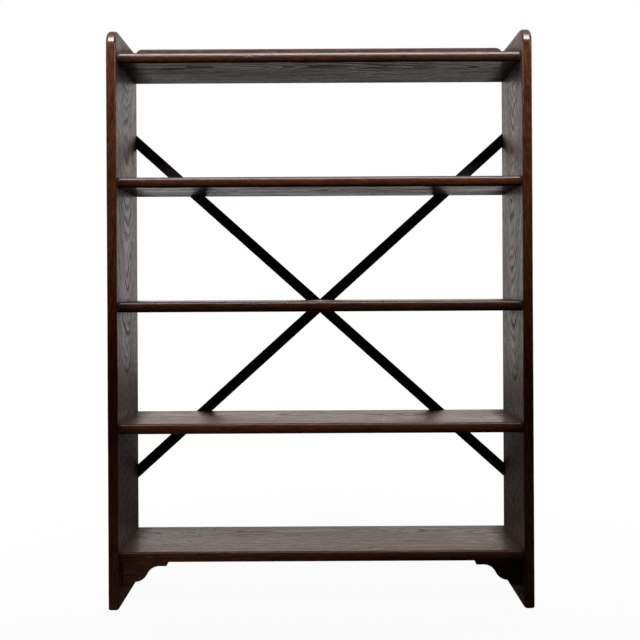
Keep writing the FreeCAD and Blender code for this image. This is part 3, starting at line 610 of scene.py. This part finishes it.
# Floor and studio
# A pale floor that fades to white with distance, and a white sweep behind the case. A soft lamp hangs
# above its front, two narrow ones catch the inner arrises, and two at the flanks light the outer
# faces. A patch of floor by the left foot glows to diffuse rays only, a painted bounce that lights the foot.
WHITE = (1, 1, 1, 1)
FLOOR_HALF = 6.0
FLOOR_NEAR = 0.9
FLOOR_FAR = 3.2
FLOOR_GREY = (0.06, 0.06, 0.06, 1)
SHADOW_SHARE = 0.05
FLOOR_SHEEN = 0.01
FLOOR_LIT = (-0.30, -0.24, 0.0)
FLOOR_LIT_REACH = 0.55
FLOOR_GLOW_BOUNCE = 0.4
floor_shape = bmesh.new()
bmesh.ops.create_grid(floor_shape, x_segments=1, y_segments=1, size=FLOOR_HALF)
floor_mesh = bpy.data.meshes.new("studio_floor")
floor_shape.to_mesh(floor_mesh)
floor_shape.free()
studio_floor = bpy.data.objects.new("studio_floor", floor_mesh)
bpy.context.scene.collection.objects.link(studio_floor)


def background_share(tree, mirrored):
    """How far a ray shows the white background: in full to the eye or through glass, else as mirrored."""
    rays = tree.nodes.new("ShaderNodeLightPath").outputs
    seen = sums(tree, "MAXIMUM", rays["Is Camera Ray"], rays["Is Transmission Ray"])
    return sums(tree, "MAXIMUM", seen, sums(tree, "MULTIPLY", rays["Is Glossy Ray"], mirrored))


pale_floor = bpy.data.materials.new("pale_floor")
pale_floor.cycles.emission_sampling = "NONE"
tree = blank_tree(pale_floor)
spot = add_node(tree, "TexCoord", [], "Object")
distance = add_node(tree, "VectorMath", [spot], "Value", operation="LENGTH")
white = rise(tree, distance, FLOOR_NEAR, FLOOR_FAR, 1.0 - SHADOW_SHARE, 1.0)
white = sums(tree, "MULTIPLY", white, background_share(tree, FLOOR_SHEEN))
# Painted bounce light: the floor glows to diffuse rays in a patch by the left foot.
lit = add_node(tree, "VectorMath", [spot, FLOOR_LIT], "Value", operation="DISTANCE")
glow_bounce = rise(tree, lit, 0.0, FLOOR_LIT_REACH, FLOOR_GLOW_BOUNCE, 0.0)
scattered = tree.nodes.new("ShaderNodeLightPath").outputs["Is Diffuse Ray"]
glow_bounce = sums(tree, "MULTIPLY", glow_bounce, scattered)
glow = add_node(tree, "Emission", {"Color": WHITE, "Strength": sums(tree, "MAXIMUM", white, glow_bounce)})
matt = add_node(tree, "BsdfDiffuse", {"Color": FLOOR_GREY})
add_node(tree, "OutputMaterial", {"Surface": add_node(tree, "AddShader", [glow, matt])})
floor_mesh.materials.append(pale_floor)

LAMP_PLACE = Vector((-0.06, -0.60, 2.12))
LAMP_AIM = Vector((-0.06, 0.11, 1.56))
LAMP_SIZE = (2.2, 0.8)
LAMP_WATTS = 32.0
LAMP_SPREAD = math.radians(80)
WING_PLACE = (1.25, -0.40, 1.62)
WING_AIM = (-0.43, -0.12, 1.12)
WING_SIZE = (0.12, 0.5)
WING_WATTS = 0.1
WING_SPREAD = math.radians(26)
FLANK_PLACE = (1.6, 0.045, 0.64)
FLANK_AIM = (0.0, 0.045, 0.64)
FLANK_SIZE = (0.15, 1.24)
FLANK_WATTS = 0.5
FLANK_SPREAD = math.radians(12)


def hang_lamp(name, place, aim, size, watts, spread):
    """A flat soft lamp at a place, turned to what it lights."""
    lamp = bpy.data.lights.new(name, "AREA")
    lamp.shape = "RECTANGLE"
    lamp.size, lamp.size_y = size
    lamp.energy = watts
    lamp.spread = spread
    stand = bpy.data.objects.new(name, lamp)
    stand.location = place
    stand.rotation_euler = (aim - place).to_track_quat("-Z", "Y").to_euler()
    stand.visible_camera = False
    bpy.context.scene.collection.objects.link(stand)
    return stand


def on_hand(way, place):
    """A place given for the right hand, taken to the hand that a way points to."""
    return Vector((place[0] * way, *place[1:]))


hang_lamp("soft_lamp", LAMP_PLACE, LAMP_AIM, LAMP_SIZE, LAMP_WATTS, LAMP_SPREAD)
for label, way in (("left", -1), ("right", 1)):
    hang_lamp(label + "_wing", on_hand(way, WING_PLACE), on_hand(way, WING_AIM),
              WING_SIZE, WING_WATTS, WING_SPREAD)
    flank = hang_lamp(label + "_flank", on_hand(way, FLANK_PLACE), on_hand(way, FLANK_AIM),
                      FLANK_SIZE, FLANK_WATTS, FLANK_SPREAD)
    flank.visible_glossy = False

ROOM_LIGHT = 0.010
SWEEP_LIGHT = 0.75
SWEEP_MIRRORED = 0.82
SWEEP_WARMTH = (1.0, 0.955, 0.915, 1)
SWEEP_SIDES = (0.1, 0.6)
SWEEP_FOOT = (-0.18, -0.10)
studio = bpy.data.worlds.new("studio")
studio.cycles.sampling_method = "NONE"
tree = blank_tree(studio)
heading = add_node(tree, "SeparateXYZ", [add_node(tree, "TexCoord", [], "Generated")]).node.outputs
sweep = sums(tree, "MULTIPLY", rise(tree, heading["Y"], *SWEEP_SIDES), rise(tree, heading["Z"], *SWEEP_FOOT))
room = rise(tree, sweep, 0.0, 1.0, ROOM_LIGHT, SWEEP_LIGHT)
shown = background_share(tree, sums(tree, "MULTIPLY", sweep, SWEEP_MIRRORED))
eye = tree.nodes.new("ShaderNodeLightPath").outputs["Is Camera Ray"]
backdrop = add_node(tree, "Background", {
    "Color": tinted(tree, eye, SWEEP_WARMTH, WHITE), "Strength": sums(tree, "MAXIMUM", shown, room)})
add_node(tree, "OutputWorld", {"Surface": backdrop})
bpy.context.scene.world = studio

# Camera
# It stands in front of the middle of the case, a little above half its height, and looks level.
# The frame is shifted down just enough to hold the feet and the tops of the sides.
LENS = 54.04
CAMERA_PLACE = (0.0, -2.1437, 0.683)
CAMERA_ROLL = 0.0052
FRAME_SHIFT = -0.0543
view = bpy.data.cameras.new("front_view")
view.lens = LENS
view.shift_y = FRAME_SHIFT
camera = bpy.data.objects.new("front_view", view)
camera.location = CAMERA_PLACE
camera.rotation_euler = (math.pi / 2, CAMERA_ROLL, 0.0)
bpy.context.scene.collection.objects.link(camera)
bpy.context.scene.camera = camera
bpy.context.scene.view_settings.view_transform = "Standard"
